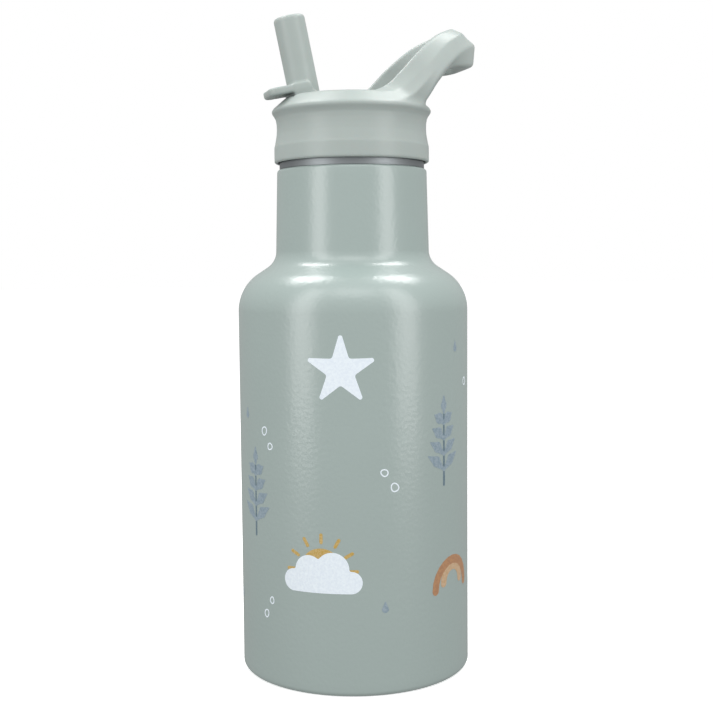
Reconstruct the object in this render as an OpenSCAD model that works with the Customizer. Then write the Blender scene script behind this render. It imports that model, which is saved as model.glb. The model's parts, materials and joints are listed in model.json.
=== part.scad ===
// Insulated steel drinking bottle for a child, about 350 ml, with a screw lid.
// The lid carries a flip-up drinking spout with a thumb lever, a straw and a fixed carry loop.
// +Z is up, +X points from the spout towards the carry loop, and the origin is the
// centre of the foot that the bottle stands on. All sizes are in millimetres.

/* [Bottle] */
// Outer diameter of the bottle body
body_d = 65; // [64:0.5:66]
// Radius of the rounded heel at the foot
heel_r = 1.6; // [1:0.1:2]
// Height at which the straight body ends and the shoulder begins
shoulder_z = 101.6; // [96:0.2:103]
// Outer diameter at the foot of the neck
neck_d = 43.3; // [43.2:0.1:43.4]
// Outer diameter at the top of the painted neck
neck_top_d = 42.2; // [42.0:0.1:42.4]
// Height of the painted neck's top edge
neck_top_z = 141.1; // [140.8:0.1:141.2]
// Wall thickness of the two steel walls
steel_t = 0.5; // [0.4:0.05:0.6]
// Vacuum gap between the two steel walls in the body
vacuum_gap = 1.6; // [1.4:0.1:2]

/* [Thread] */
// Height the lid rises in one turn
thread_pitch = 3.6; // [3.4:0.1:3.8]
// Turns of thread on the neck and in the lid
thread_turns = 1.2; // [1:0.1:1.2]

/* [Spout] */
// Angle that the raised spout leans away from the carry loop
spout_lean = 11.5; // [10:0.5:13]
// Length of the spout from its pivot to its tip
spout_l = 25.6; // [24:0.2:26.4]
// Outer diameter of the spout tube
spout_d = 8.7; // [8.4:0.1:8.9]
// Width of the thumb lever and of the drum that the spout turns on
lever_w = 11; // [10.6:0.1:11.2]
// Length of the thumb lever, from the spout's axis to its end
lever_l = 10.8; // [9:0.2:12]

/* [Straw] */
// Outer diameter of the straw
straw_d = 6.8; // [6.4:0.1:7]
// Height of the straw's lower end above the foot
straw_end_z = 9; // [7:0.5:14]

/* [Hidden] */
$fn = 96;
eps = 0.01;

sage = "#a9b3ab";
steel_grey = "#9a9ea3";

// Shoulder: a convex arc, a short cone and a concave arc that runs into the neck.
body_r = body_d / 2;
neck_r = neck_d / 2;
neck_top_r = neck_top_d / 2;
shoulder_r = 12.4;
neck_fillet_r = 5.5;
shoulder_a = 56.3;
foot_in_r = 27;

// Neck edge: the painted shell turns in over the vessel, to which it is welded.
neck_edge_r = 0.9;
neck_lip_r = 19.8;

// Neck finish: the bare steel step under the lid, and the threaded mouth above it.
finish_step_r = 20.4;
finish_step_z = 143.3;
finish_r = 18.35;
finish_t = 0.6;
finish_edge = 0.3;
mouth_z = 150;

// Inner vessel: a wall and a dished bottom, welded together part way up the rounded corner.
vessel_gap = steel_t + vacuum_gap;
vessel_r = body_r - vessel_gap;
vessel_floor_z = 6;
vessel_corner_r = 6;
weld_a = -42;

// Bottom of the vacuum jacket, with the getter and the sealed evacuation hole.
plate_rim_r = 30.8;
dish_foot_r = 24;
dish_top_r = 22;
dish_z = 3;
seal_hole_r = 1;
thread_crest_r = 19.15;
thread_z = 144.8;
thread_root_w = 1.6;
thread_crest_w = 0.8;
thread_gap = 1.3;

// Lid shell: a waisted grip, a sharp rim, a 45 degree bevel and a flat top.
lid_z = 142.9;
lid_foot_r = 21.8;
lid_waist_r = 21;
lid_waist_z = 152.2;
lid_rim_r = 22.35;
lid_rim_z = 157.3;
lid_top_r = 17.8;
lid_top_z = 161;
lid_ceiling_z = 151.3;
lid_bore_r = 19.45;
lid_thread_r = 18.65;
lid_counterbore_r = 20.75;
lid_counterbore_z = 144;
band_top_z = 147.4;
pocket_r = 16.8;
pocket_y = 9.4;
pocket_top_z = 158.9;

// Flip spout: a drum in the lid's slot, with the spout tube and the thumb lever on it.
pivot_x = -12.7;
pivot_z = 157.7;
drum_r = 4.7;
axle_r = 1.6;
axle_play = 0.05;
axle_l = 2;
slot_play = 0.3;
mouth_play = 0.8;
slot_floor_z = pivot_z - drum_r - slot_play;
slot_end_x = 14.6;
lever_t = 2.4;
lever_top = 7.1;
block_back = 3.9;
block_front = 3.6;
spout_flat = 4.1;
spout_tip_h = 1.2;
spout_tip_scale = 0.86;
channel_r = 2.4;

// Straw, its nipple and the valve seat under the drum.
straw_x = -10.6;
nipple_r = 2.6;
nipple_bore_r = 1.9;
straw_bore_r = 2.65;
straw_top_z = 148.05;
seat_x = -11.9;
seat_r = 3.9;
seat_h = 2.2;
seat_hole_r = 2.2;
vent_x = 8;
vent_hole_r = 0.8;
vent_slot_r = 0.4;
valve_stem_r = 1.05;

function arc(cx, cy, r, a0, a1, n = 12) =
    [for (i = [0 : n]) let (a = a0 + (a1 - a0) * i / n) [cx + r * cos(a), cy + r * sin(a)]];

// Outer line of the bottle wall from the heel to the top of the neck, moved inwards by t.
function wall_line(t, top_z) =
    let (r = body_r - t,
         heel = max(heel_r - t, 0.4),
         convex = shoulder_r - t,
         concave = neck_fillet_r + t,
         foot_r = neck_r - t,
         z0 = shoulder_z,
         drop = r - foot_r - (convex + concave) * (1 - cos(shoulder_a)),
         z1 = z0 + convex * sin(shoulder_a) + drop / tan(shoulder_a) + concave * sin(shoulder_a))
    concat(arc(r - heel, t + heel, heel, -90, 0, 6),
           arc(r - convex, z0, convex, 0, shoulder_a),
           arc(foot_r + concave, z1, concave, 180 + shoulder_a, 180),
           [[neck_top_r - t, top_z]]);

function reversed(list) = [for (i = [len(list) - 1 : -1 : 0]) list[i]];

// A solid of revolution from a closed outline of [radius, height] points.
module lathe(points) {
    rotate_extrude() polygon(points);
}

// A screw thread of trapezoid section: root_r is buried in the wall that carries it.
module thread(root_r, crest_r, z0, root_w, crest_w, turns) {
    steps = 30;
    n = ceil(turns * steps);
    side = sign(crest_r - root_r);
    fade = 4;
    function height(i) = min(1, min(i, n - i) / fade);
    function ring(i) =
        let (a = 360 * i / steps,
             z = z0 + thread_pitch * i / steps,
             r = root_r + side * (abs(crest_r - root_r) * height(i) + eps),
             w = crest_w * height(i) + eps)
        [[root_r * cos(a), root_r * sin(a), z - root_w / 2],
         [r * cos(a), r * sin(a), z - w / 2],
         [r * cos(a), r * sin(a), z + w / 2],
         [root_r * cos(a), root_r * sin(a), z + root_w / 2]];
    points = [for (i = [0 : n]) each ring(i)];
    flip = side > 0;
    function face(f) = flip ? f : reversed(f);
    sides = [for (i = [0 : n - 1], k = [0 : 3])
        let (a = 4 * i + k, b = 4 * i + (k + 1) % 4, c = b + 4, d = a + 4)
        each [face([a, b, c]), face([a, c, d])]];
    ends = [face([3, 2, 1, 0]), face([for (k = [0 : 3]) 4 * n + k])];
    polyhedron(points, concat(sides, ends));
}

/* ---- bottle ---- */

module outer_shell() {
    edge_z = neck_top_z - neck_edge_r;
    color(sage) lathe(concat(
        [[foot_in_r, 0]],
        wall_line(0, edge_z),
        arc(neck_top_r - neck_edge_r, edge_z, neck_edge_r, 15, 90, 5),
        [[neck_lip_r, neck_top_z], [neck_lip_r, neck_top_z - steel_t]],
        reversed(wall_line(steel_t, edge_z - steel_t)),
        [[foot_in_r, steel_t]]));
}

// Arc of the vessel's rounded bottom corner, on its outer face or, moved in by t, on its inner.
function vessel_corner(t, a0, a1) =
    arc(vessel_r - vessel_corner_r, vessel_floor_z - steel_t + vessel_corner_r, vessel_corner_r - t,
        a0, a1, 6);

// Wall of the vessel: body, shoulder and neck, with the bare step and the threaded mouth on top.
module inner_vessel() {
    flare_z = neck_top_z - 6;
    flare_end_z = neck_top_z - 4;
    throat_r = neck_r - vessel_gap - steel_t - 0.3;
    throat_z = neck_top_z - 5;
    outside = [for (p = wall_line(vessel_gap, flare_z)) if (p[1] > vessel_floor_z) p];
    inside = [for (p = wall_line(vessel_gap + steel_t, flare_z)) if (p[1] > vessel_floor_z) p];
    color(steel_grey) union() {
        lathe(concat(
            vessel_corner(0, weld_a, 0),
            outside,
            [[neck_lip_r, flare_end_z], [neck_lip_r, neck_top_z],
             [finish_step_r, neck_top_z + 0.05], [finish_step_r, finish_step_z - 0.4],
             [finish_step_r - 0.4, finish_step_z], [finish_r, finish_step_z],
             [finish_r, mouth_z - finish_edge], [finish_r - finish_edge, mouth_z],
             [finish_r - finish_t, mouth_z], [finish_r - finish_t, finish_step_z - 1.5],
             [throat_r, throat_z]],
            reversed(inside),
            vessel_corner(steel_t, 0, weld_a)));
        thread(finish_r - finish_edge, thread_crest_r, thread_z, thread_root_w, thread_crest_w,
               thread_turns);
    }
}

// Dished bottom that is welded into the vessel's wall.
module inner_bottom() {
    color(steel_grey) lathe(concat(
        [[0, vessel_floor_z - steel_t]],
        vessel_corner(0, -90, weld_a),
        vessel_corner(steel_t, weld_a, -90),
        [[0, vessel_floor_z]]));
}

// Stamped bottom of the vacuum jacket, with the evacuation hole in its middle.
module base_plate() {
    rim_z = steel_t + eps;
    slope_t = 0.3;
    color(steel_grey) difference() {
        lathe([[0, dish_z - steel_t], [dish_top_r, dish_z - steel_t], [dish_foot_r, rim_z],
               [plate_rim_r, rim_z], [plate_rim_r, 2 * steel_t], [dish_foot_r + slope_t, 2 * steel_t],
               [dish_top_r + slope_t, dish_z], [0, dish_z]]);
        cylinder(r = seal_hole_r, h = 10, center = true);
    }
}

// Bare steel disc that hides the seal of the vacuum jacket.
module base_cover() {
    cover_t = 0.5;
    pan_r = 20.5;
    pan_z = 1;
    rim_in_r = 21.1;
    rim_r = 23.3;
    rim_z = 0.6;
    slope_t = 0.2;
    color(steel_grey)
        lathe([[0, pan_z], [pan_r, pan_z], [rim_in_r, rim_z], [rim_r, rim_z],
               [rim_r, rim_z + cover_t], [rim_in_r + slope_t, rim_z + cover_t],
               [pan_r + slope_t, pan_z + cover_t], [0, pan_z + cover_t]]);
}

// Pellet that holds the vacuum clean, spot-welded on the jacket's bottom.
module getter() {
    color("dimgray") translate([12, 0, dish_z]) cylinder(r = 3, h = 1.2);
}

// Drop of solder glass that closes the evacuation hole from below.
module seal_bead() {
    head_h = 0.78;
    stem_h = 2;
    color("tan") translate([0, 0, dish_z - steel_t - head_h - 0.02]) union() {
        cylinder(r = seal_hole_r - 0.05, h = stem_h);
        cylinder(r = 2 * seal_hole_r, h = head_h);
    }
}

/* ---- lid ---- */

// Rails of the carry loop, each [x, half width, z] at six stations from the lid to the tip:
// the inner top edge, the broad face, its outer crease, the narrow side, and the inner side.
loop_rails = [
    [[1.5, 14.6, 160.4], [8.1, 14.0, 165.0], [14.7, 13.2, 171.8],
     [21.0, 9.8, 177.2], [27.2, 5.0, 180.3], [29.0, 0, 180.8]],
    [[2.8, 18.2, 158.9], [10.0, 16.2, 162.6], [17.4, 14.6, 169.4],
     [23.3, 11.4, 175.2], [29.4, 6.7, 179.2], [32.0, 0, 180.3]],
    [[4.0, 20.4, 156.6], [11.5, 17.7, 159.3], [19.6, 15.1, 166.5],
     [25.1, 12.3, 172.5], [30.8, 7.7, 177.2], [34.6, 0, 178.6]],
    [[9.0, 18.0, 155.0], [16.6, 15.2, 158.8], [21.4, 14.4, 165.4],
     [26.6, 11.9, 170.6], [32.8, 7.5, 174.8], [36.8, 0, 176.4]],
    [[11.0, 15.0, 154.5], [17.0, 13.6, 158.4], [21.4, 12.9, 164.6],
     [26.2, 10.4, 169.2], [31.6, 6.2, 172.2], [34.8, 0, 173.8]],
    [[6.0, 12.8, 154.5], [14.0, 12.0, 159.0], [19.0, 11.2, 164.6],
     [24.2, 8.4, 168.8], [28.2, 4.2, 170.8], [29.0, 0, 171.2]],
    [[2.6, 12.8, 157.5], [10.4, 12.4, 162.0], [16.6, 11.6, 168.3],
     [21.6, 8.2, 173.4], [25.4, 3.8, 176.2], [25.8, 0, 176.6]],
];

// Catmull-Rom curve through four points, at t from 0 to 1 between b and c.
function spline(a, b, c, d, t) =
    0.5 * (2 * b + (c - a) * t + (2 * a - 5 * b + 4 * c - d) * t * t
           + (3 * b - a - 3 * c + d) * t * t * t);

function mirrored(p) = [p[0], -p[1], p[2]];

// A rail followed over the whole loop, from one root over the tip to the other root.
function whole_rail(rail, per_span) =
    let (n = len(rail),
         far = [for (i = [n - 2 : -1 : 0]) mirrored(rail[i])],
         all = concat(rail, far),
         m = len(all),
         ends = concat([2 * all[0] - all[1]], all, [2 * all[m - 1] - all[m - 2]]))
    concat([for (i = [0 : m - 2], k = [0 : per_span - 1])
               spline(ends[i], ends[i + 1], ends[i + 2], ends[i + 3], k / per_span)],
           [all[m - 1]]);

module carry_loop() {
    rails = [for (r = loop_rails) whole_rail(r, 4)];
    sides = len(rails);
    n = len(rails[0]);
    points = [for (i = [0 : n - 1], k = [0 : sides - 1]) rails[k][i]];
    skin = [for (i = [0 : n - 2], k = [0 : sides - 1])
        let (a = sides * i + k, b = sides * i + (k + 1) % sides, c = b + sides, d = a + sides)
        each [[a, b, c], [a, c, d]]];
    ends = [[for (k = [sides - 1 : -1 : 0]) k],
            [for (k = [0 : sides - 1]) sides * (n - 1) + k]];
    polyhedron(points, concat(skin, ends));
}

// Radius of the lid's waisted grip at height z: one bulge down to the foot, one up to the rim.
function grip_r(z) =
    let (below = (lid_waist_z - z) / (lid_waist_z - band_top_z),
         above = (z - lid_waist_z) / (lid_rim_z - 0.5 - lid_waist_z))
    lid_waist_r + (z < lid_waist_z ? (lid_foot_r - lid_waist_r) * below * below
                                   : (lid_rim_r - 0.1 - lid_waist_r) * above * above);

module lid_outline() {
    edge_r = 0.4;
    top_edge_r = 1;
    steps = 10;
    lathe(concat(
        [[0, lid_z + 1], [lid_bore_r - 1, lid_z + 1], [lid_counterbore_r - 0.2, lid_z],
         [lid_foot_r - edge_r, lid_z]],
        arc(lid_foot_r - edge_r, lid_z + edge_r, edge_r, -90, 0, 4),
        [for (i = [0 : steps])
            let (z = band_top_z + (lid_rim_z - 0.5 - band_top_z) * i / steps) [grip_r(z), z]],
        [[lid_rim_r, lid_rim_z], [lid_top_r + 0.9, lid_top_z - 0.5]],
        arc(lid_top_r, lid_top_z - top_edge_r, top_edge_r, 45, 90, 4),
        [[0, lid_top_z]]));
}

// Slot that the spout folds into, and the round end that its drum turns in.
module spout_slot() {
    w = lever_w + 2 * slot_play;
    r = drum_r + slot_play;
    mouth_z = pivot_z + 1.5;
    above = 10;
    translate([pivot_x, -w / 2, slot_floor_z]) cube([slot_end_x - pivot_x, w, 2 * above]);
    translate([pivot_x, w / 2, pivot_z]) rotate([90, 0, 0]) cylinder(r = r, h = w);
    translate([pivot_x - r, -w / 2, pivot_z]) cube([r + 1, w, above]);
    translate([pivot_x - r - mouth_play, -w / 2, mouth_z]) cube([r + 1 + mouth_play, w, above]);
}

module axle(r, half_w) {
    translate([pivot_x, half_w, pivot_z]) rotate([90, 0, 0]) cylinder(r = r, h = 2 * half_w);
}

// Hollow beside the slot, which keeps the lid's walls even.
module side_pocket(side) {
    intersection() {
        translate([0, 0, lid_ceiling_z - 1]) cylinder(r = pocket_r, h = pocket_top_z - lid_ceiling_z + 1);
        translate([-pocket_r, side > 0 ? pocket_y : -pocket_r - pocket_y, lid_ceiling_z - 2])
            cube([2 * pocket_r, pocket_r, 12]);
    }
}

module lid_shell() {
    below = 1;
    color(sage) union() {
        difference() {
            union() {
                lid_outline();
                carry_loop();
            }
            spout_slot();
            axle(axle_r + axle_play, lever_w / 2 + axle_l + slot_play);
            translate([0, 0, lid_z - below]) cylinder(r = lid_bore_r, h = lid_ceiling_z - lid_z + below);
            translate([0, 0, lid_z - below])
                cylinder(r = lid_counterbore_r, h = lid_counterbore_z - lid_z + below);
            translate([seat_x, 0, lid_ceiling_z - below]) cylinder(r = seat_r, h = 5);
            translate([vent_x, 0, lid_ceiling_z - below]) cylinder(r = vent_hole_r, h = 5);
            side_pocket(1);
            side_pocket(-1);
        }
        rotate([0, 0, 180])
            thread(lid_bore_r + 0.3, lid_thread_r, thread_z + thread_pitch / 2 - thread_gap,
                   thread_root_w, thread_crest_w, thread_turns - 0.3);
    }
}

// Disc under the lid's ceiling that carries the straw's nipple and the vent.
module lid_insert() {
    top_z = lid_ceiling_z - 0.02;
    insert_t = 2.2;
    flange_r = 17.2;
    flange_z = top_z - 1.35;
    core_r = 16;
    nipple_z = 143;
    collar_h = 1.5;
    color("whitesmoke") difference() {
        union() {
            lathe([[0, top_z - insert_t], [flange_r - 0.8, top_z - insert_t],
                   [flange_r, top_z - insert_t + 0.3], [flange_r, flange_z], [core_r, flange_z],
                   [core_r, top_z], [0, top_z]]);
            translate([straw_x, 0, nipple_z]) cylinder(r = nipple_r, h = 7);
            translate([straw_x, 0, straw_top_z + 0.05]) cylinder(r = straw_d / 2 + 0.8, h = collar_h);
        }
        translate([straw_x, 0, nipple_z - 1]) cylinder(r = nipple_bore_r, h = 20);
        translate([vent_x, 0, nipple_z]) cylinder(r = valve_stem_r + 0.05, h = 20);
        for (a = [0 : 120 : 240])
            translate([vent_x, 0, nipple_z]) rotate([0, 0, a]) translate([2.2, 0, 0])
                cylinder(r = vent_slot_r, h = 20);
    }
}

// Flat ring between the bottle's mouth and the lid's ceiling.
module neck_gasket() {
    in_r = 16.05;
    out_r = 18.8;
    edge = 0.3;
    z0 = mouth_z + 0.02;
    z1 = lid_ceiling_z - 0.04;
    color("gainsboro") lathe([[in_r, z0], [out_r - edge, z0], [out_r, z0 + edge], [out_r, z1 - edge],
                              [out_r - edge, z1], [in_r, z1]]);
}

// Soft seat that the drum rubs on: it seals the channel when the spout is folded down.
module spout_seat() {
    color("gainsboro") difference() {
        translate([seat_x, 0, lid_ceiling_z]) cylinder(r = seat_r - 0.02, h = seat_h);
        translate([seat_x, 0, lid_ceiling_z - 1]) cylinder(r = seat_hole_r, h = 5);
        translate([pivot_x, 10, pivot_z]) rotate([90, 0, 0]) cylinder(r = drum_r + 0.03, h = 20);
    }
}

// Umbrella valve that lets air in while the child drinks: a flexible cap on a stem.
module vent_valve() {
    cap_h = 0.85;
    color("gainsboro") translate([vent_x, 0, lid_ceiling_z - 2.2]) union() {
        translate([0, 0, -cap_h - 0.05]) cylinder(r1 = 2.2, r2 = 3.4, h = cap_h);
        translate([0, 0, -0.1]) cylinder(r = valve_stem_r, h = 2.1);
    }
}

/* ---- spout ---- */

// Section of the spout tube: round, with a flat on the side that folds down.
module spout_section() {
    r = spout_d / 2;
    intersection() {
        circle(r = r);
        translate([-r, -r]) square([r + spout_flat, 2 * r]);
    }
}

// Thumb lever seen from above: a strip with a rounded end.
module lever_plan() {
    corner_r = 3;
    half_w = lever_w / 2;
    translate([corner_r - lever_l, -half_w]) square([lever_l - corner_r, lever_w]);
    translate([-lever_l, corner_r - half_w]) square([lever_l, lever_w - 2 * corner_r]);
    for (side = [-1, 1])
        translate([corner_r - lever_l, side * (half_w - corner_r)]) circle(r = corner_r);
}

module flip_spout() {
    half_w = lever_w / 2;
    color(sage) difference() {
        union() {
            translate([pivot_x, 0, pivot_z]) rotate([0, -spout_lean, 0]) {
                translate([0, 0, 2]) linear_extrude(spout_l - spout_tip_h - 2) spout_section();
                translate([0, 0, spout_l - spout_tip_h - eps])
                    linear_extrude(spout_tip_h) scale(spout_tip_scale) spout_section();
                translate([0, half_w, 0]) rotate([90, 0, 0]) cylinder(r = drum_r, h = lever_w);
                translate([-block_back, -half_w, 0]) cube([block_back + block_front, lever_w, lever_top]);
                translate([0, 0, lever_top - lever_t]) linear_extrude(lever_t) lever_plan();
            }
            axle(axle_r, half_w + axle_l);
        }
        translate([pivot_x, 0, pivot_z]) rotate([0, -spout_lean, 0])
            translate([0, 0, -2 * drum_r]) cylinder(r = channel_r, h = spout_l + 3 * drum_r);
    }
}

// Straight tube, cut at a slant below so that it can't seal itself against the floor.
module straw() {
    cut_a = 30;
    cut_h = 10;
    straw_l = straw_top_z - straw_end_z;
    color("white") translate([straw_x, 0, straw_end_z]) difference() {
        cylinder(r = straw_d / 2, h = straw_l);
        translate([0, 0, -1]) cylinder(r = straw_bore_r, h = straw_l + 2);
        translate([0, 0, -6]) rotate([0, cut_a, 0]) cube([3 * cut_h, 3 * cut_h, cut_h], center = true);
    }
}

outer_shell();
inner_vessel();
inner_bottom();
base_plate();
base_cover();
getter();
seal_bead();
lid_shell();
lid_insert();
neck_gasket();
spout_seat();
vent_valve();
flip_spout();
straw();
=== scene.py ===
import json
import math

import bmesh
import bpy
import numpy as np
from mathutils import Matrix, Vector


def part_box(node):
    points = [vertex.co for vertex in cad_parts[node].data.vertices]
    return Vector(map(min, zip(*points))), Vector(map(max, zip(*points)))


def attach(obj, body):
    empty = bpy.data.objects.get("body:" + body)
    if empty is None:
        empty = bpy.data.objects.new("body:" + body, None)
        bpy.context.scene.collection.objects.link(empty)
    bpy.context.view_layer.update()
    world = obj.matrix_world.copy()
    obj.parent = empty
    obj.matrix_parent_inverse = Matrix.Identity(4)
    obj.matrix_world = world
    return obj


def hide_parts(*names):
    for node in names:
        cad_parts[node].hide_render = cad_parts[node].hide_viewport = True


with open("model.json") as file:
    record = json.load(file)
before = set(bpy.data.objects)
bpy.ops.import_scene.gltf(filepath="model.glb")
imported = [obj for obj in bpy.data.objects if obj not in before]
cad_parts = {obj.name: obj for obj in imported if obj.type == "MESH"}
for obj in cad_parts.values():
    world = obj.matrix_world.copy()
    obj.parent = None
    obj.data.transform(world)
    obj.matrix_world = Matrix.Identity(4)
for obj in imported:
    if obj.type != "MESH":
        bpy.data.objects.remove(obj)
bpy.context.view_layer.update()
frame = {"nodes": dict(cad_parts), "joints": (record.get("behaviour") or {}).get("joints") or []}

# The child's steel bottle: looks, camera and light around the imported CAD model.
# Lengths in this script are millimetres in the CAD frame, and MM turns them into metres.
MM = 0.001
scene = bpy.context.scene


def box_mm(node):
    """A CAD node's lowest and highest corners, in millimetres."""
    low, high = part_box(node)
    return np.array(low) / MM, np.array(high) / MM


SHELL_HIGH = box_mm("outer_shell")[1]
LID_LOW = box_mm("lid_shell")[0]
BODY_R = SHELL_HIGH[0]
NECK_TOP_Z = SHELL_HIGH[2]
LID_Z = LID_LOW[2]
PIVOT = next(np.array(j["pos_m"]) / MM for j in frame["joints"] if j["name"] == "spout_flip")


# ---------------------------------------------------------------- camera

CAMERA_TURN = math.radians(-16)
CAMERA_DISTANCE = 334.5
CAMERA_HEIGHT = 114.2
CAMERA_TILT = 0.0777
CAMERA_ROLL = -0.0086
CAMERA_YAW = 0.0026
CAMERA_LENS = 59.14
CAMERA_SENSOR = 36


def make_camera():
    """A close camera at mid height, turned a little off the lid's plane of symmetry."""
    data = bpy.data.cameras.new("camera")
    data.lens = CAMERA_LENS
    data.sensor_width = CAMERA_SENSOR
    data.clip_start = 0.01
    data.clip_end = 50
    camera = bpy.data.objects.new("camera", data)
    scene.collection.objects.link(camera)
    turn = Matrix.Rotation(CAMERA_TURN, 4, "Z")
    place = Matrix.Translation(Vector((0, -CAMERA_DISTANCE, CAMERA_HEIGHT)) * MM)
    yaw = Matrix.Rotation(-CAMERA_YAW, 4, "Z")
    tilt = Matrix.Rotation(math.pi / 2 - CAMERA_TILT, 4, "X")
    roll = Matrix.Rotation(CAMERA_ROLL, 4, "Z")
    camera.matrix_world = turn @ place @ yaw @ tilt @ roll
    scene.camera = camera


make_camera()


# ---------------------------------------------------------------- mesh tools

def mesh_object(name, points_mm, faces, body, material, replaces=(), sharp=None):
    """A smooth-shaded mesh piece from points in millimetres, riding on a CAD body."""
    mesh = bpy.data.meshes.new(name)
    mesh.from_pydata((np.asarray(points_mm) * MM).tolist(), [], [list(map(int, f)) for f in faces])
    mesh.validate()
    mesh.shade_smooth()
    if sharp is not None:
        mesh.set_sharp_from_angle(angle=math.radians(sharp))
    mesh.materials.append(material)
    piece = bpy.data.objects.new(name, mesh)
    scene.collection.objects.link(piece)
    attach(piece, body)
    if replaces:
        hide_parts(*replaces)


def arc(cx, cz, r, start, end, steps=10):
    """Points on an arc, from start to end in degrees."""
    angles = np.radians(np.linspace(start, end, steps + 1))
    return [(cx + r * math.cos(a), cz + r * math.sin(a)) for a in angles]


def lathe(points, segments=256):
    """The mesh of a closed outline of (radius, height) points turned around the Z axis."""
    outline = np.array(points)
    turns = np.linspace(0, 2 * np.pi, segments, endpoint=False)
    x = outline[:, 0][None, :] * np.cos(turns)[:, None]
    y = outline[:, 0][None, :] * np.sin(turns)[:, None]
    z = np.broadcast_to(outline[:, 1][None, :], x.shape)
    vertices = np.stack([x, y, z], -1).reshape(-1, 3)
    count = len(outline)
    i, k = np.meshgrid(np.arange(segments), np.arange(count), indexing="ij")
    a = i * count + k
    b = i * count + (k + 1) % count
    c = (i + 1) % segments * count + (k + 1) % count
    d = (i + 1) % segments * count + k
    return vertices, np.stack([a, d, c, b], -1).reshape(-1, 4)


def resample(points, longest=2.0):
    """Splits the long edges of a closed outline, so that a lathe's quads stay short."""
    result = []
    for a, b in zip(points, points[1:] + points[:1]):
        pieces = max(1, math.ceil(math.dist(a, b) / longest))
        result += [tuple(np.add(a, np.subtract(b, a) * n / pieces)) for n in range(pieces)]
    return result


# ---------------------------------------------------------------- solids from distance fields

def grid_of(low, high, step):
    """Open coordinate arrays x, y and z that cover a box."""
    axes = [np.arange(low[n], high[n] + step, step) for n in range(3)]
    return axes[0][:, None, None], axes[1][None, :, None], axes[2][None, None, :]


def smooth_min(a, b, blend):
    """The union of two fields, with a fillet about as wide as blend."""
    h = np.maximum(blend - np.abs(a - b), 0) / blend
    return np.minimum(a, b) - h * h * blend / 4


def smooth_max(a, b, blend):
    """The intersection of two fields, with a rounded edge."""
    return -smooth_min(-a, -b, blend)


def box_field(x, y, z, low, high, rounding=0.0):
    """Distance to a box with rounded edges."""
    middle = (np.array(low) + np.array(high)) / 2
    half = (np.array(high) - np.array(low)) / 2 - rounding
    qx = np.abs(x - middle[0]) - half[0]
    qy = np.abs(y - middle[1]) - half[1]
    qz = np.abs(z - middle[2]) - half[2]
    outside = np.sqrt(np.maximum(qx, 0) ** 2 + np.maximum(qy, 0) ** 2 + np.maximum(qz, 0) ** 2)
    return outside + np.minimum(np.maximum(np.maximum(qx, qy), qz), 0) - rounding


def polygon_distance(u, v, corners):
    """Signed distance to a polygon. Corners are (u, v) pairs of numbers or of arrays like u."""
    nearest = np.full(np.broadcast(u, v).shape, np.inf)
    inside = np.zeros(nearest.shape, bool)
    for (au, av), (bu, bv) in zip(corners, corners[1:] + corners[:1]):
        eu, ev = bu - au, bv - av
        pu, pv = u - au, v - av
        t = np.clip((pu * eu + pv * ev) / np.maximum(eu * eu + ev * ev, 1e-9), 0, 1)
        nearest = np.minimum(nearest, (pu - t * eu) ** 2 + (pv - t * ev) ** 2)
        crosses = (av > v) != (bv > v)
        with np.errstate(divide="ignore", invalid="ignore"):
            side = u < au + eu * (v - av) / ev
        inside ^= crosses & side
    return np.where(inside, -1, 1) * np.sqrt(nearest)


def surface_net(field, low, step):
    """Vertices and quads of a field's zero surface, one vertex in each cell that it crosses."""
    inside = field < 0
    corners = [(i, j, k) for i in (0, 1) for j in (0, 1) for k in (0, 1)]
    shape = tuple(n - 1 for n in field.shape)

    def shifted(array, corner):
        return array[tuple(slice(c, c + n) for c, n in zip(corner, shape))]

    total = sum(shifted(inside, c).astype(np.int8) for c in corners)
    cells = np.argwhere((total > 0) & (total < 8))
    summed = np.zeros((len(cells), 3))
    hits = np.zeros(len(cells))
    values = {c: field[tuple((cells + c).T)] for c in corners}
    for a in corners:
        for axis in range(3):
            if a[axis]:
                continue
            b = tuple(v + (n == axis) for n, v in enumerate(a))
            fa, fb = values[a], values[b]
            cut = (fa < 0) != (fb < 0)
            t = np.where(cut, fa / np.where(cut, fa - fb, 1), 0)
            point = np.array(a, float)[None, :] + t[:, None] * (np.array(b) - np.array(a))[None, :]
            summed += np.where(cut[:, None], point, 0)
            hits += cut
    grid_points = cells + summed / hits[:, None]
    index = np.full(shape, -1)
    index[tuple(cells.T)] = np.arange(len(cells))
    quads = []
    for axis in range(3):
        u, v = (axis + 1) % 3, (axis + 2) % 3
        first = np.take(inside, range(field.shape[axis] - 1), axis)
        second = np.take(inside, range(1, field.shape[axis]), axis)
        for sign in (True, False):
            edges = np.argwhere((first != second) & (first == sign))
            edges = edges[(edges[:, u] > 0) & (edges[:, v] > 0)]
            edges = edges[(edges[:, u] < shape[u]) & (edges[:, v] < shape[v])]
            ring = []
            for du, dv in ((-1, -1), (0, -1), (0, 0), (-1, 0)):
                cell = edges.copy()
                cell[:, u] += du
                cell[:, v] += dv
                ring.append(index[tuple(cell.T)])
            quad = np.stack(ring, -1)
            quads.append(quad if sign else quad[:, ::-1])
    quads = np.concatenate(quads)
    quads = quads[(quads >= 0).all(1)]
    grid_points = settle(grid_points, field)
    return grid_points * step + np.array(low), quads


def sample(field, points):
    """Trilinear values of a grid at points in grid units."""
    base = np.clip(np.floor(points).astype(int), 0, np.array(field.shape) - 2)
    part = points - base
    value = np.zeros(len(points))
    for i in (0, 1):
        for j in (0, 1):
            for k in (0, 1):
                weight = (np.abs(1 - i - part[:, 0]) * np.abs(1 - j - part[:, 1])
                          * np.abs(1 - k - part[:, 2]))
                value += weight * field[base[:, 0] + i, base[:, 1] + j, base[:, 2] + k]
    return value


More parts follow.
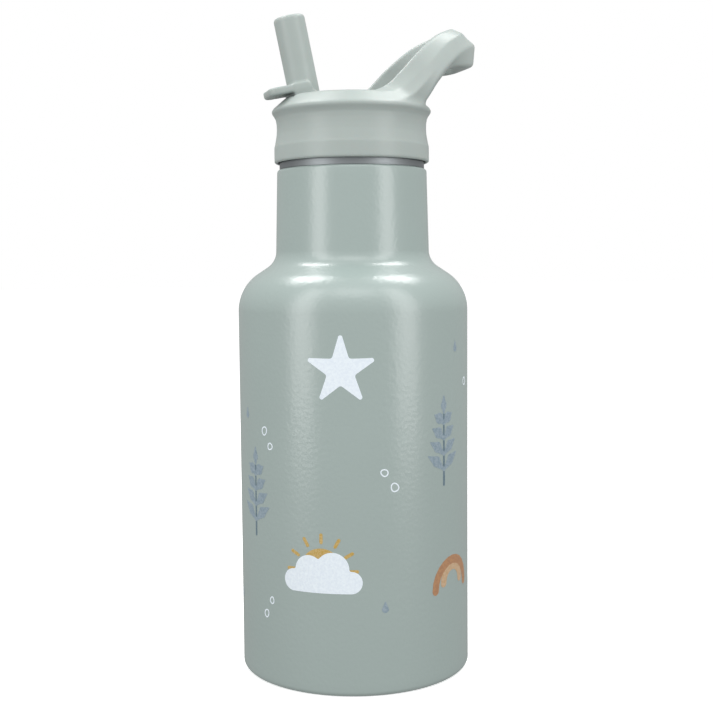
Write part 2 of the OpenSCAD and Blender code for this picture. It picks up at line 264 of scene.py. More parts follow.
def settle(points, field, rounds=2, longest_move=0.3):
    """Moves a net's vertices onto the zero surface, along the field's slope, in grid units."""
    slopes = np.gradient(field)
    for _ in range(rounds):
        value = sample(field, points)
        slope = np.stack([sample(s, points) for s in slopes], -1)
        size = np.maximum((slope ** 2).sum(1), 1e-6)
        move = -slope * (value / size)[:, None]
        points = points + np.clip(move, -longest_move, longest_move)
    return points


# ---------------------------------------------------------------- materials

def material(name, color, roughness, **inputs):
    """A Principled material whose constants sit on the shader's own sockets."""
    made = bpy.data.materials.new(name)
    made.use_nodes = True
    shader = made.node_tree.nodes["Principled BSDF"]
    shader.inputs["Base Color"].default_value = (*color, 1)
    shader.inputs["Roughness"].default_value = roughness
    for key, value in inputs.items():
        shader.inputs[key.replace("_", " ")].default_value = value
    return made


def add_node(made, kind, **settings):
    node = made.node_tree.nodes.new(kind)
    for key, value in settings.items():
        setattr(node, key, value)
    return node


def link(made, a, b):
    made.node_tree.links.new(a, b)


def noise(made, scale, detail=2.0, stretch=(1, 1, 1), distortion=0.0):
    """A noise texture in object coordinates: scale is in features per millimetre."""
    coordinates = add_node(made, "ShaderNodeTexCoord")
    mapping = add_node(made, "ShaderNodeMapping")
    mapping.inputs["Scale"].default_value = stretch
    texture = add_node(made, "ShaderNodeTexNoise")
    texture.inputs["Scale"].default_value = scale / MM
    texture.inputs["Detail"].default_value = detail
    texture.inputs["Distortion"].default_value = distortion
    link(made, coordinates.outputs["Object"], mapping.inputs["Vector"])
    link(made, mapping.outputs["Vector"], texture.inputs["Vector"])
    return texture.outputs["Fac"]


def spread(made, value, low, high, from_low=0.3, from_high=0.7):
    """Maps a texture's middle range to the range low to high."""
    node = add_node(made, "ShaderNodeMapRange")
    node.inputs["From Min"].default_value = from_low
    node.inputs["From Max"].default_value = from_high
    node.inputs["To Min"].default_value = low
    node.inputs["To Max"].default_value = high
    link(made, value, node.inputs["Value"])
    return node.outputs["Result"]


def mix_color(made, factor, a, b):
    node = add_node(made, "ShaderNodeMix", data_type="RGBA")
    node.inputs["A"].default_value = (*a, 1)
    node.inputs["B"].default_value = (*b, 1)
    link(made, factor, node.inputs["Factor"])
    return node.outputs["Result"]


def bump(made, height, distance, strength=1.0, under=None):
    """A bump of a real height in millimetres, over another bump if one is given."""
    node = add_node(made, "ShaderNodeBump")
    node.inputs["Strength"].default_value = strength
    node.inputs["Distance"].default_value = distance * MM
    link(made, height, node.inputs["Height"])
    if under is not None:
        link(made, under, node.inputs["Normal"])
    return node.outputs["Normal"]


def finish_material(made, color=None, roughness=None, normal=None):
    shader = made.node_tree.nodes["Principled BSDF"]
    if color is not None:
        link(made, color, shader.inputs["Base Color"])
    if roughness is not None:
        link(made, roughness, shader.inputs["Roughness"])
    if normal is not None:
        link(made, normal, shader.inputs["Normal"])
    return made


def tinted(color, factor):
    return tuple(min(1.0, c * factor) for c in color)


def pebble_normal(made):
    """The fine orange-peel grain of a powder coat."""
    grain = bump(made, noise(made, 1.0, 0.0), 0.06, 0.6)
    return bump(made, noise(made, 2.0, 0.0), 0.015, 0.4, under=grain)


def powder_coat(name, color):
    made = material(name, color, 0.27, Specular_IOR_Level=1.0)
    tone = spread(made, noise(made, 0.03, 3), 0, 1)
    return finish_material(made, mix_color(made, tone, tinted(color, 0.985), tinted(color, 1.015)),
                           normal=pebble_normal(made))


def moulded_plastic(name, color, roughness=0.4, subsurface=0.0):
    made = material(name, color, roughness, Subsurface_Weight=subsurface, Subsurface_Scale=0.002)
    tone = spread(made, noise(made, 0.08, 4), 0, 1)
    grain = bump(made, noise(made, 6.0, 2), 0.01, 0.4)
    grain = bump(made, noise(made, 0.12, 1), 0.05, 0.25, under=grain)
    tones = mix_color(made, tone, tinted(color, 0.975), tinted(color, 1.02))
    shine = spread(made, noise(made, 1.2, 3), roughness - 0.04, roughness + 0.05)
    return finish_material(made, tones, shine, grain)


def brushed_steel(name, color, roughness=0.3):
    """Steel turned on a lathe: fine lines run around the bottle's axis."""
    made = material(name, color, roughness, Metallic=1.0)
    lines = noise(made, 1.0, 4, stretch=(0.02, 0.02, 9))
    tones = mix_color(made, spread(made, lines, 0, 1), tinted(color, 0.9), color)
    shine = spread(made, lines, roughness - 0.07, roughness + 0.1)
    return finish_material(made, tones, shine, bump(made, lines, 0.01, 0.3))


def silicone(name, color):
    made = material(name, color, 0.5, Subsurface_Weight=0.3, Subsurface_Scale=0.001)
    return finish_material(made, normal=bump(made, noise(made, 4.0, 2), 0.01, 0.3),
                           roughness=spread(made, noise(made, 1.0, 3), 0.44, 0.58))


INK_ROUGHNESS = 0.45


def ink(name, color, second, scale=2.2):
    """Printed ink: two tones brushed into each other, over the coat's own grain."""
    made = material(name, color, INK_ROUGHNESS)
    speckle = spread(made, noise(made, scale, 4, distortion=0.4), 0, 1, 0.38, 0.62)
    tones = mix_color(made, speckle, color, second)
    shine = spread(made, noise(made, 1.6, 2), INK_ROUGHNESS - 0.06, INK_ROUGHNESS + 0.06)
    return finish_material(made, tones, shine, pebble_normal(made))


COAT = powder_coat("powder_coat", (0.325, 0.395, 0.375))
LID_PLASTIC = moulded_plastic("lid_plastic", (0.37, 0.42, 0.4), 0.38, 0.03)
STEEL = brushed_steel("bare_steel", (0.28, 0.3, 0.31), 0.45)
GETTER_METAL = brushed_steel("getter_metal", (0.1, 0.1, 0.11), 0.6)
SEAL_GLASS = moulded_plastic("seal_glass", (0.4, 0.3, 0.18), 0.2)
INSERT_PLASTIC = moulded_plastic("insert_plastic", (0.78, 0.78, 0.75), 0.42, 0.05)
SILICONE = silicone("silicone", (0.72, 0.73, 0.72))
STRAW_PLASTIC = moulded_plastic("straw_plastic", (0.84, 0.86, 0.86), 0.3, 0.1)

for node_name, node_material in {
        "inner_vessel": STEEL, "inner_bottom": STEEL, "base_plate": STEEL, "base_cover": STEEL,
        "getter": GETTER_METAL, "seal_bead": SEAL_GLASS, "lid_insert": INSERT_PLASTIC,
        "neck_gasket": SILICONE, "spout_seat": SILICONE, "vent_valve": SILICONE,
        "straw": STRAW_PLASTIC}.items():
    node_mesh = frame["nodes"][node_name].data
    node_mesh.materials.clear()
    node_mesh.materials.append(node_material)


# ---------------------------------------------------------------- bottle shell

# The outline and its sizes in millimetres are those of the CAD shell.
SHELL_T = 0.5
FOOT_IN_R = 27.0
HEEL_R = 1.6
SHOULDER_Z = 101.6
SHOULDER_R = 12.4
NECK_FILLET_R = 5.5
SHOULDER_A = 56.3
NECK_R = 21.65
NECK_TOP_R = 21.1
NECK_EDGE_R = 0.9
NECK_LIP_R = 19.8
NECK_INNER_DROP = NECK_EDGE_R + SHELL_T
HEEL_LEAST_R = 0.4


def wall_line(inset, top_z):
    """The bottle wall's line from the heel to the top of the neck, moved inwards."""
    r = BODY_R - inset
    heel = max(HEEL_R - inset, HEEL_LEAST_R)
    convex = SHOULDER_R - inset
    concave = NECK_FILLET_R + inset
    foot = NECK_R - inset
    a = math.radians(SHOULDER_A)
    drop = r - foot - (convex + concave) * (1 - math.cos(a))
    z1 = SHOULDER_Z + convex * math.sin(a) + drop / math.tan(a) + concave * math.sin(a)
    return (arc(r - heel, inset + heel, heel, -90, 0, 8)
            + arc(r - convex, SHOULDER_Z, convex, 0, SHOULDER_A, 24)
            + arc(foot + concave, z1, concave, 180 + SHOULDER_A, 180, 16)
            + [(NECK_TOP_R - inset, top_z)])


def make_shell():
    """The painted shell, turned about the bottle's axis."""
    outline = ([(FOOT_IN_R, 0)] + wall_line(0, NECK_TOP_Z - NECK_EDGE_R)
               + arc(NECK_TOP_R - NECK_EDGE_R, NECK_TOP_Z - NECK_EDGE_R, NECK_EDGE_R, 15, 90, 8)
               + [(NECK_LIP_R, NECK_TOP_Z), (NECK_LIP_R, NECK_TOP_Z - SHELL_T)]
               + wall_line(SHELL_T, NECK_TOP_Z - NECK_INNER_DROP)[::-1] + [(FOOT_IN_R, SHELL_T)])
    vertices, faces = lathe(resample(outline))
    mesh_object("painted_shell", vertices, faces, "bottle", COAT,
                ["outer_shell"], 40)


make_shell()


# ---------------------------------------------------------------- print

FRONT_TURN = CAMERA_TURN - math.pi / 2
INK_T = 0.03
INK_STEP = 0.16
INK_COLUMNS = 9
INK_BLEND = 0.7
INK_MARGIN = 5
RING_W = 0.34
FAR = 99.0

INKS = {
    "white": ink("ink_white", (0.8, 0.87, 0.92), (0.74, 0.81, 0.88), 1.6),
    "slate": ink("ink_slate", (0.21, 0.28, 0.33), (0.29, 0.36, 0.41), 1.8),
    "deep_slate": ink("ink_deep_slate", (0.1, 0.16, 0.2), (0.15, 0.21, 0.25)),
    "mustard": ink("ink_mustard", (0.47, 0.3, 0.06), (0.56, 0.4, 0.16), 2.4),
    "brown": ink("ink_brown", (0.37, 0.19, 0.1), (0.44, 0.23, 0.11), 1.5),
    "tan": ink("ink_tan", (0.5, 0.33, 0.18), (0.56, 0.4, 0.26), 1.5),
}


def fan(count, start_deg, step_deg, near, far):
    """Straight strokes from a centre; near and far are (distance, radius)."""
    turns = [math.radians(start_deg + n * step_deg) for n in range(count)]
    return [[(d * math.cos(a), d * math.sin(a), r) for d, r in (near, far)] for a in turns]


def arch(radius, half_width):
    """A half circle of joints."""
    return [[(radius * math.cos(a), radius * math.sin(a) - radius / 2, half_width)
             for a in np.linspace(0, math.pi, 13)]]


def leaves(count, first, pitch, length):
    """Pairs of leaves up an upright stem, shorter towards the top."""
    pairs = []
    for n in range(count):
        reach, foot = length * (1 - 0.13 * n), first + n * pitch
        for side in (-1, 1):
            pairs.append([(0, foot, 0.25), (side * reach * 0.5, foot + reach * 0.42, 1.5),
                          (side * reach, foot + reach * 0.7, 0.2)])
    return pairs


# Each motif is a list of (ink, shapes), with the first ink on top. A shape is a chain of joints
# (u, v, radius) in millimetres, u to the right and v up, with tapered stretches between them.
MOTIFS = {
    "star": [("white", fan(5, 90, 72, (0, 3.2), (8.6, 0.6)))],
    "cloud_and_sun": [
        ("white", [[(-8, -3, 3), (8, -3, 3)], [(-3.5, 0, 4)], [(3, 0.5, 4.5)]]),
        ("mustard", [[(0, 0, 6)]] + fan(7, 0, 30, (7.6, 0.45), (9.6, 0.45)))],
    "leaf_sprig": [
        ("slate", leaves(4, -7, 4.2, 6) + [[(0, 8.5, 0.3), (0, 10.5, 1.2), (0, 13, 0.2)]]),
        ("deep_slate", [[(0, -11, 0.4), (0, 9, 0.3)]])],
    "arches": [("brown", arch(7.5, 1.2)), ("tan", arch(4.2, 1.2))],
    "drop": [("slate", [[(0, 1.6, 0.12), (0, -0.4, 0.95)]])],
}

# Places on the straight wall: motif, degrees to the right of the front, height.
PLACES = [
    ("star", -6, 87), ("cloud_and_sun", -16, 34), ("leaf_sprig", 48, 66),
    ("leaf_sprig", -56, 52), ("arches", 55, 30), ("drop", 58, 92), ("drop", -64, 74),
    ("drop", 14, 24), ("star", 112, 88), ("leaf_sprig", 128, 54),
    ("cloud_and_sun", 172, 82), ("arches", 176, 34), ("star", -142, 60),
    ("leaf_sprig", -108, 80), ("cloud_and_sun", -120, 32), ("drop", 100, 30),
    ("drop", 152, 65), ("drop", -160, 94), ("drop", -164, 46), ("drop", -78, 22),
]

# Little rings: degrees to the right of the front, height, half width, half height.
RINGS = [
    (-48, 70, 0.95, 1.1), (-44, 66, 0.8, 0.9), (70, 82, 0.95, 1.1), (14, 60, 0.95, 0.9),
    (19, 56, 1.1, 1.05), (-44, 24, 0.75, 0.85), (-48, 20, 0.85, 1.0), (94, 74, 1.0, 1.1),
    (98, 70, 0.8, 0.9), (150, 97, 0.9, 1.0), (-176, 58, 1.0, 0.9), (-172, 62, 0.8, 0.9),
    (-152, 80, 0.9, 1.1), (-98, 98, 1.0, 1.0), (96, 18, 0.8, 0.9), (100, 21, 0.9, 1.0),
    (-152, 24, 0.9, 1.0), (-90, 34, 0.8, 1.0),
]


def chain_field(u, v, joints):
    """Distance to round joints and the tapered stretches between them."""
    nearest = np.full(np.broadcast(u, v).shape, FAR)
    for (au, av, ar), (bu, bv, br) in zip(joints, joints[1:] or joints):
        eu, ev = bu - au, bv - av
        t = np.clip(((u - au) * eu + (v - av) * ev) / max(eu * eu + ev * ev, 1e-9), 0, 1)
        reach = np.hypot(u - au - t * eu, v - av - t * ev)
        nearest = np.minimum(nearest, reach - ar - t * (br - ar))
    return nearest


def shapes_field(u, v, shapes):
    """Distance to the chains of a motif, joined by small fillets."""
    field = np.full(np.broadcast(u, v).shape, FAR)
    for joints in shapes:
        field = smooth_min(field, chain_field(u, v, joints), INK_BLEND)
    return field


def flat_patch(u, v, field):
    """A triangle mesh of the area where a field is negative, with its rim on the outline."""
    keep = field < INK_STEP / 2
    cells = keep[:-1, :-1] & keep[1:, :-1] & keep[:-1, 1:] & keep[1:, 1:]
    i, k = np.nonzero(cells)
    rows = field.shape[1]
    first, second = i * rows + k, (i + 1) * rows + k
    quads = np.stack([first, second, second + 1, first + 1], -1)
    uses = np.bincount(quads.ravel(), minlength=field.size).reshape(field.shape)
    rim = (uses > 0) & (uses < 4)
    slope_u, slope_v = np.gradient(field, INK_STEP)
    steepness = np.maximum(slope_u ** 2 + slope_v ** 2, 0.3)
    move = np.clip(-field / steepness, -INK_STEP, INK_STEP) * rim
    points_u = (u + move * slope_u).ravel()
    points_v = (v + move * slope_v).ravel()
    used, faces = np.unique(quads, return_inverse=True)
    flat = bmesh.new()
    column = []
    for n in used:
        flat.verts.new((points_u[n], points_v[n], 0))
        column.append(n // rows)
    flat.verts.ensure_lookup_table()
    for face in faces.reshape(-1, 4):
        flat.faces.new([flat.verts[n] for n in face])
    flat.verts.index_update()
    inner = [e for e in flat.edges if column[e.verts[0].index] != column[e.verts[1].index]
             or column[e.verts[0].index] % INK_COLUMNS]
    bmesh.ops.dissolve_limit(flat, angle_limit=0.01, verts=flat.verts, edges=inner)
    bmesh.ops.triangulate(flat, faces=flat.faces)
    flat.verts.index_update()
    points = np.array([v.co[:2] for v in flat.verts])
    triangles = [[v.index for v in f.verts] for f in flat.faces]
    flat.free()
    return points, triangles


def wrap_patch(points, faces, turn_deg, height):
    """A flat patch laid round the bottle's wall as a closed film of ink."""
    turn = FRONT_TURN + math.radians(turn_deg) + points[:, 0] / BODY_R
    z = height + points[:, 1]
    rings = [np.stack([r * np.cos(turn), r * np.sin(turn), z], -1)
             for r in (BODY_R + INK_T, BODY_R - INK_T)]
    count = len(points)
    edges = {(a, b) for face in faces for a, b in zip(face, face[1:] + face[:1])}
    sides = [[b, a, a + count, b + count] for a, b in edges if (b, a) not in edges]
    below = [[n + count for n in face[::-1]] for face in faces]
    return np.vstack(rings), faces + below + sorted(sides)


def motif_patches(name):
    """The flat patches of a motif, as (ink, points, faces). The first ink hides the others."""
    patches = []
    top_shapes = MOTIFS[name][0][1]
    for ink_name, shapes in MOTIFS[name]:
        joints = np.array([joint[:2] for chain in shapes for joint in chain])
        low, high = joints.min(0) - INK_MARGIN, joints.max(0) + INK_MARGIN
        u = np.arange(low[0], high[0], INK_STEP)[:, None]
        v = np.arange(low[1], high[1], INK_STEP)[None, :]
        field = shapes_field(u, v, shapes)
        if shapes is not top_shapes:
            field = np.maximum(field, -shapes_field(u, v, top_shapes))
        patches.append((ink_name, *flat_patch(u, v, field)))
    return patches


def ring_patch(half_w, half_h, phase):
    """A hand-drawn ring: a band of quads along an uneven ellipse."""
    turns = np.linspace(0, 2 * math.pi, 40, endpoint=False)
    wobble = 1 + 0.06 * np.sin(2 * turns + phase) + 0.04 * np.sin(3 * turns + 2 * phase)
    line = np.stack([half_w * wobble * np.cos(turns), half_h * wobble * np.sin(turns)], -1)
    outward = line / np.linalg.norm(line, axis=1, keepdims=True)
    points = np.vstack([line - outward * RING_W / 2, line + outward * RING_W / 2])
    count = len(line)
    faces = [[n, n + count, (n + 1) % count + count, (n + 1) % count] for n in range(count)]
    return points, faces


def make_print():
    """All the motifs, as one piece for each ink."""
    films = {name: [] for name in INKS}
    drawn = {name: motif_patches(name) for name in MOTIFS}
    for name, turn, height in PLACES:
        for ink_name, points, faces in drawn[name]:
            films[ink_name].append(wrap_patch(points, faces, turn, height))
    for phase, (turn, height, half_w, half_h) in enumerate(RINGS):
        films["white"].append(wrap_patch(*ring_patch(half_w, half_h, phase), turn, height))
    for name, parts in films.items():
        offsets = np.cumsum([0] + [len(points) for points, _ in parts])
        faces = [[n + offset for n in face]
                 for offset, (_, part) in zip(offsets, parts) for face in part]
        mesh_object("print_" + name, np.vstack([points for points, _ in parts]), faces, "bottle",
                    INKS[name], sharp=30)


make_print()


# ---------------------------------------------------------------- lid

LID_FOOT_R = 21.78
LID_BORE_R = 19.45
LID_COUNTERBORE = (20.75, 144.0)
LID_CEILING_Z = 151.3
LID_TOP_Z = 161.0
SLOT_HALF_W = 5.8
SLOT_R = 5.0
SLOT_END_X = 14.6
LID_STEP = 0.34
LID_OUTLINE_STEP = 0.1
LOOP_BLEND = 1.8
SEAT_R = 3.88
SEAT_POCKET_R = 3.9
VENT_X = 8.0
VENT_R = 0.8
HOLE_MID_Z = 151.5
HOLE_HALF_H = 3.0
ABOVE_ALL = 190

# Rails of the carry loop, each (x, half width, z) at six stations from the lid to the tip:
# seven edges in order round its section, from the inner top edge over the broad face and its
# crease, down the narrow side and back along the inside.
LOOP_RAILS = [
    [(1.5, 14.6, 160.4), (8.1, 14.0, 165.0), (14.7, 13.2, 171.8),
     (21.0, 9.8, 177.2), (27.2, 5.0, 180.3), (29.0, 0, 180.8)],
    [(2.8, 18.2, 158.9), (10.0, 16.2, 162.6), (17.4, 14.6, 169.4),
     (23.3, 11.4, 175.2), (29.4, 6.7, 179.2), (32.0, 0, 180.3)],
    [(4.0, 20.4, 156.6), (11.5, 17.7, 159.3), (19.6, 15.1, 166.5),
     (25.1, 12.3, 172.5), (30.8, 7.7, 177.2), (34.6, 0, 178.6)],
    [(9.0, 18.0, 155.0), (16.6, 15.2, 158.8), (21.4, 14.4, 165.4),
     (26.6, 11.9, 170.6), (32.8, 7.5, 174.8), (36.8, 0, 176.4)],
    [(11.0, 15.0, 154.5), (17.0, 13.6, 158.4), (21.4, 12.9, 164.6),
     (26.2, 10.2, 168.9), (32.4, 6.6, 169.8), (35.8, 0, 170.9)],
    [(6.0, 12.8, 154.5), (14.0, 12.0, 159.0), (19.0, 11.2, 164.6),
     (24.2, 8.2, 168.4), (28.8, 4.6, 168.9), (30.4, 0, 169.0)],
    [(2.6, 12.8, 157.5), (10.4, 12.4, 162.0), (16.6, 11.6, 168.3),
     (21.6, 8.2, 173.4), (25.4, 3.8, 176.2), (25.8, 0, 176.6)],
]
# Rounding of the loop's edges at the lid and at the tip.
LOOP_ROUNDING = (0.6, 1.4)
LOOP_REACH = 9
LOOP_STEPS_PER_SPAN = 8


def spline(points, per_span):
    """A Catmull-Rom curve through points, that ends square to the plane of symmetry."""
    p = np.array(points, float)
    p = np.vstack([2 * p[0] - p[1], p, p[-2] * (1, -1, 1)])
    result = []
    for i in range(len(points) - 1):
        a, b, c, d = p[i:i + 4]
        for t in np.arange(per_span) / per_span:
            result.append(0.5 * (2 * b + (c - a) * t + (2 * a - 5 * b + 4 * c - d) * t ** 2
                                 + (3 * b - a - 3 * c + d) * t ** 3))
    return np.array(result + [p[-2]])


def loop_field(x, y, z):
    """Distance to the carry loop: a seven-sided section swept from the lid to the tip."""
    rails = np.array([spline(r, LOOP_STEPS_PER_SPAN) for r in LOOP_RAILS])
    centre = rails.mean(0)
    tangent = np.gradient(centre, axis=0)
    tangent[-1] = (0, -1, 0)
    tangent /= np.linalg.norm(tangent, axis=1, keepdims=True)
    across = rails[3] - rails[0]
    across -= (across * tangent).sum(1, keepdims=True) * tangent
    across /= np.linalg.norm(across, axis=1, keepdims=True)
    normal = np.cross(tangent, across)
    offsets = rails - centre
    section = np.stack([(offsets * across).sum(2), (offsets * normal).sum(2)], -1)
    size = np.linalg.norm(section, axis=2, keepdims=True)
    rounding = np.linspace(*LOOP_ROUNDING, len(centre))[:, None]
    section *= 1 - rounding / size

    shape = np.broadcast(x, y, z).shape
    points = np.stack([np.broadcast_to(v, shape) for v in (x, np.abs(y), z)], -1).reshape(-1, 3)
    reach_low, reach_high = centre.min(0) - LOOP_REACH, centre.max(0) + LOOP_REACH
    near = ((points - np.clip(points, reach_low, reach_high)) ** 2).sum(1) == 0
    close = points[near]
    best = np.full(len(close), np.inf)
    place = np.zeros(len(close))
    for i in range(len(centre) - 1):
        a, step = centre[i], centre[i + 1] - centre[i]
        t = np.clip((close - a) @ step / (step @ step), 0, 1)
        distance = ((close - a - t[:, None] * step) ** 2).sum(1)
        better = distance < best
        best[better] = distance[better]
        place[better] = i + t[better]

    i = np.minimum(place.astype(int), len(centre) - 2)
    t = (place - i)[:, None]

    def between(values):
        return values[i] * (1 - t) + values[i + 1] * t

    offset = close - between(centre)
    u = (offset * between(across)).sum(1)
    v = (offset * between(normal)).sum(1)
    along = np.abs((offset * between(tangent)).sum(1))
    corners = [tuple(between(section[k]).T) for k in range(len(rails))]
    flat = polygon_distance(u, v, corners) - between(rounding)[:, 0]
    past_end = np.maximum(along - 0.6, 0)
    field = np.full(len(points), 12.0)
    field[near] = np.where(past_end > 0, np.hypot(np.maximum(flat, 0), past_end), flat)
    return field.reshape(shape)


def lid_outline():
    """The lid's outer wall: a straight foot band, a waist, a rim and a bevelled roof."""
    return ([(0, LID_Z), (LID_FOOT_R - 0.5, LID_Z)]
            + arc(LID_FOOT_R - 0.5, LID_Z + 0.5, 0.5, -80, 0, 5)
            + [(LID_FOOT_R, 147.3), (21.62, 147.75), (21.35, 149.2), (21.1, 150.7),
               (21.0, 152.2), (21.05, 153.7), (21.3, 155.1), (21.8, 156.0), (22.25, 156.6),
               (22.4, 157.0), (22.3, 157.4), (21.9, 157.9), (18.9, 160.5), (18.2, 160.9),
               (17.4, LID_TOP_Z), (0, LID_TOP_Z)])


def make_lid():
    """The lid and its loop, with the bore, the spout's slot and the two holes in the roof."""
    low = (-23.5, -23.5, LID_Z - 1)
    high = (38.5, 23.5, 182.5)
    x, y, z = grid_of(low, high, LID_STEP)
    radius = np.hypot(x, y)
    radii = np.arange(0, 50, LID_OUTLINE_STEP)
    table = polygon_distance(radii[:, None], z[0], lid_outline())
    place = radius[:, :, 0] / LID_OUTLINE_STEP
    cell = place.astype(int)
    part = (place - cell)[:, :, None]
    wall = table[cell] * (1 - part) + table[cell + 1] * part

    field = smooth_min(wall, loop_field(x, y, z), LOOP_BLEND)
    bore = smooth_max(radius - LID_BORE_R, z - LID_CEILING_Z, 0.4)
    counterbore = np.maximum(radius - LID_COUNTERBORE[0], z - LID_COUNTERBORE[1])
    field = smooth_max(field, -np.minimum(bore, counterbore), 0.3)

    floor_z = PIVOT[2] - SLOT_R
    slot = box_field(x, y, z, (PIVOT[0], -SLOT_HALF_W, floor_z),
                     (SLOT_END_X, SLOT_HALF_W, ABOVE_ALL), 0.6)
    drum = smooth_max(np.hypot(x - PIVOT[0], z - PIVOT[2]) - SLOT_R, np.abs(y) - SLOT_HALF_W, 0.5)
    mouth = box_field(x, y, z, (PIVOT[0] - SLOT_R, -SLOT_HALF_W, PIVOT[2]),
                      (PIVOT[0] + 3, SLOT_HALF_W, ABOVE_ALL))
    slot = np.minimum(np.minimum(slot, drum), mouth)
    field = smooth_max(field, -slot, 1.0)
    seat_x = box_mm("spout_seat")[0][0] + SEAT_R
    for hole_x, hole_r in ((seat_x, SEAT_POCKET_R), (VENT_X, VENT_R)):
        hole = np.maximum(np.hypot(x - hole_x, y) - hole_r, np.abs(z - HOLE_MID_Z) - HOLE_HALF_H)
        field = np.maximum(field, -hole)
    vertices, faces = surface_net(field, low, LID_STEP)
    mesh_object("lid_with_carry_loop", vertices, faces, "lid", LID_PLASTIC,
                ["lid_shell"])


make_lid()


# ---------------------------------------------------------------- spout

SPOUT_LEAN = math.radians(11.5)
SPOUT_L = 25.6
SPOUT_R = 4.35
SPOUT_FLAT = 4.05
SPOUT_BORE_R = 2.4
SPOUT_HALF_W = 5.5
SPOUT_STEP = 0.2
DRUM_R = 4.7
AXLE_R = 1.6
AXLE_HALF_W = 7.5
LEVER_L = 10.8
LEVER_TOP = 7.1
LEVER_T = 2.4
LEVER_CORNER = 2.8
BLOCK_BACK = 3.9
BLOCK_FRONT = 3.6
FLARE_X = 2.2
FLARE_Z = 3.4
FLARE_SLOPE = 0.55
DISH_DEPTH = 0.35
DISH_X = -7.0
DISH_SPREAD = (12, 14)


def make_spout():
    """The spout with its lever, drum and axles, upright on its pivot and then leaned."""
    low = (-LEVER_L - 1, -AXLE_HALF_W - 0.6, -DRUM_R - 1)
    high = (5.6, AXLE_HALF_W + 0.6, SPOUT_L + 0.8)
    x, y, z = grid_of(low, high, SPOUT_STEP)
    tube = np.maximum(np.hypot(x, y) - SPOUT_R, x - SPOUT_FLAT) + 0 * z
    tube = smooth_max(tube, np.abs(z - SPOUT_L / 2) - SPOUT_L / 2, 1.3)
    block = box_field(x, y, z, (-BLOCK_BACK, -SPOUT_HALF_W, -1),
                      (BLOCK_FRONT, SPOUT_HALF_W, LEVER_TOP), 0.5)
    flare = smooth_max(block, (x - FLARE_X) + FLARE_SLOPE * (z - FLARE_Z), 0.6)
    drum = smooth_max(np.hypot(x, z) - DRUM_R, np.abs(y) - SPOUT_HALF_W, 0.8)
    side = np.maximum(np.abs(y) - (SPOUT_HALF_W - LEVER_CORNER), 0)
    end = np.maximum(-(x + LEVER_L - LEVER_CORNER), 0)
    plan = np.hypot(side, end) - LEVER_CORNER
    dish = DISH_DEPTH * np.exp(-((x - DISH_X) ** 2 / DISH_SPREAD[0] + y * y / DISH_SPREAD[1]))
    slab = np.abs(z - (LEVER_TOP - LEVER_T / 2)) - LEVER_T / 2
    lever = smooth_max(np.maximum(plan, x - 1), slab, 1.0)
    lever = smooth_max(lever, z - LEVER_TOP + dish, 0.6)
    field = smooth_min(smooth_min(tube, flare, 0.9), lever, 0.7)
    field = smooth_min(field, drum, 0.4)
    field = np.maximum(field, np.minimum(np.hypot(x, z) - DRUM_R, x - SPOUT_FLAT))
    axle = smooth_max(np.hypot(x, z) - AXLE_R, np.abs(y) - AXLE_HALF_W, 0.4)
    field = np.minimum(field, axle)
    channel = np.hypot(x, y) - SPOUT_BORE_R
    lip = np.hypot(x, y) - SPOUT_BORE_R - np.maximum(z - SPOUT_L + 1.2, 0) ** 2 * 0.35
    field = smooth_max(field, -np.minimum(channel, lip), 0.4)
    vertices, faces = surface_net(field, low, SPOUT_STEP)
    c, s = math.cos(SPOUT_LEAN), math.sin(SPOUT_LEAN)
    leaning = np.stack([vertices[:, 0] * c - vertices[:, 2] * s, vertices[:, 1],
                        vertices[:, 0] * s + vertices[:, 2] * c], -1)
    mesh_object("flip_up_spout", leaning + PIVOT, faces, "spout", LID_PLASTIC,
                ["flip_spout"])


make_spout()


# ---------------------------------------------------------------- stage

ROOM_FRONT = 0.5
ROOM_BACK = 0.3
ROOM_TOP = 0.3
FLOOR_GLOW = 0.5
FLOOR_HALF = 6


def softbox(name, turn_deg, distance, height, size, power, aim_z):
    """A soft box, in metres and watts, turned from the camera's line, that faces the axis."""
    data = bpy.data.lights.new(name, "AREA")
    data.shape = "RECTANGLE"
    data.size, data.size_y = size
    data.energy = power
    light = bpy.data.objects.new(name, data)
    scene.collection.objects.link(light)
    turn = CAMERA_TURN + math.radians(turn_deg)
    place = Vector((math.sin(turn) * distance, -math.cos(turn) * distance, height))
    light.location = place
    light.rotation_euler = (Vector((0, 0, aim_z)) - place).to_track_quat("-Z", "Y").to_euler()


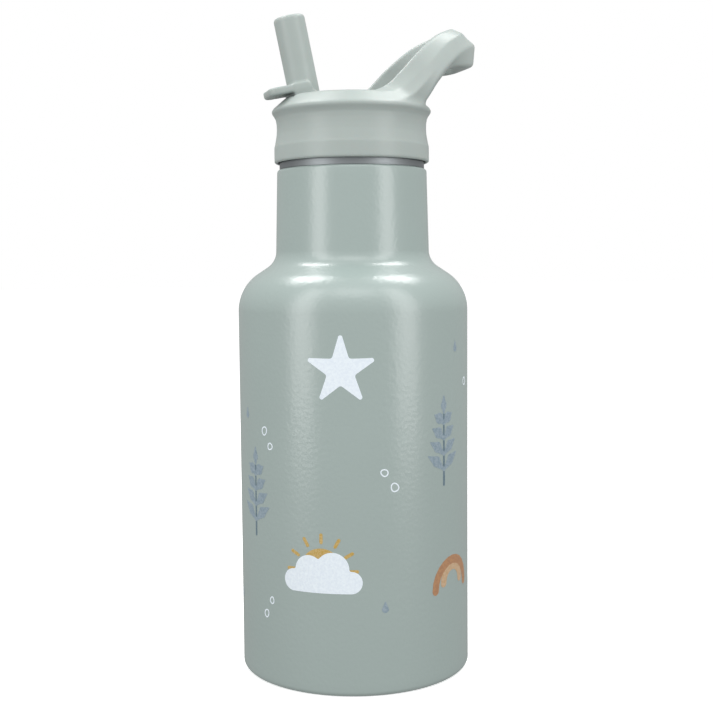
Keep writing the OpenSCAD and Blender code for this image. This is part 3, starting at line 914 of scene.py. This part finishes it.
def make_world():
    """A room that is brighter behind the bottle and above it, and that the camera sees as white."""
    world = bpy.data.worlds.new("white_room")
    world.use_nodes = True
    tree = world.node_tree

    def ramp(vector, low, high):
        """Light that changes from low to high along a direction."""
        direction = tree.nodes.new("ShaderNodeTexCoord")
        along = tree.nodes.new("ShaderNodeVectorMath")
        along.operation = "DOT_PRODUCT"
        along.inputs[1].default_value = vector
        level = tree.nodes.new("ShaderNodeMapRange")
        level.interpolation_type = "SMOOTHSTEP"
        limits = (("From Min", -0.6), ("From Max", 0.6), ("To Min", low), ("To Max", high))
        for socket, value in limits:
            level.inputs[socket].default_value = value
        tree.links.new(direction.outputs["Generated"], along.inputs[0])
        tree.links.new(along.outputs["Value"], level.inputs["Value"])
        return level.outputs["Result"]

    total = tree.nodes.new("ShaderNodeMath")
    total.operation = "ADD"
    tree.links.new(ramp((-math.sin(CAMERA_TURN), math.cos(CAMERA_TURN), 0), ROOM_FRONT, ROOM_BACK),
                   total.inputs[0])
    tree.links.new(ramp((0, 0, 0.6), 0, ROOM_TOP), total.inputs[1])
    path = tree.nodes.new("ShaderNodeLightPath")
    seen = tree.nodes.new("ShaderNodeMix")
    seen.inputs["B"].default_value = 1.0
    tree.links.new(total.outputs["Value"], seen.inputs["A"])
    tree.links.new(path.outputs["Is Camera Ray"], seen.inputs["Factor"])
    tree.links.new(seen.outputs["Result"], tree.nodes["Background"].inputs["Strength"])
    tree.nodes["Background"].inputs["Color"].default_value = (1, 1, 1, 1)
    scene.world = world


def make_stage():
    """A plain floor, the room, and soft boxes at the sides and overhead."""
    made = material("floor_white", (0.92, 0.92, 0.92), 0.8, Emission_Strength=FLOOR_GLOW,
                    Emission_Color=(1, 1, 1, 1))
    tone = mix_color(made, noise(made, 0.01, 2), (0.91, 0.91, 0.91), (0.93, 0.93, 0.93))
    finish_material(made, tone)
    corners = [(FLOOR_HALF * i, FLOOR_HALF * j, 0) for i, j in ((-1, -1), (1, -1), (1, 1), (-1, 1))]
    mesh = bpy.data.meshes.new("floor")
    mesh.from_pydata(corners, [], [(0, 1, 2, 3)])
    mesh.materials.append(made)
    floor = bpy.data.objects.new("floor", mesh)
    scene.collection.objects.link(floor)
    floor.visible_diffuse = False
    floor.visible_glossy = False
    make_world()
    scene.view_settings.view_transform = "Standard"
    for side, turn in (("left", -50), ("right", 52)):
        softbox(side + "_softbox", turn, distance=0.5, height=0.43, size=(0.2, 0.85),
                power=1.35, aim_z=0.43)
    for side, turn in (("left", -115), ("right", 115)):
        softbox(side + "_overhead_softbox", turn, distance=0.26, height=0.65, size=(0.2, 0.24),
                power=1.3, aim_z=0.11)
    softbox("front_overhead_softbox", 0, distance=0.42, height=0.62, size=(0.4, 0.25),
            power=0.45, aim_z=0.13)


make_stage()
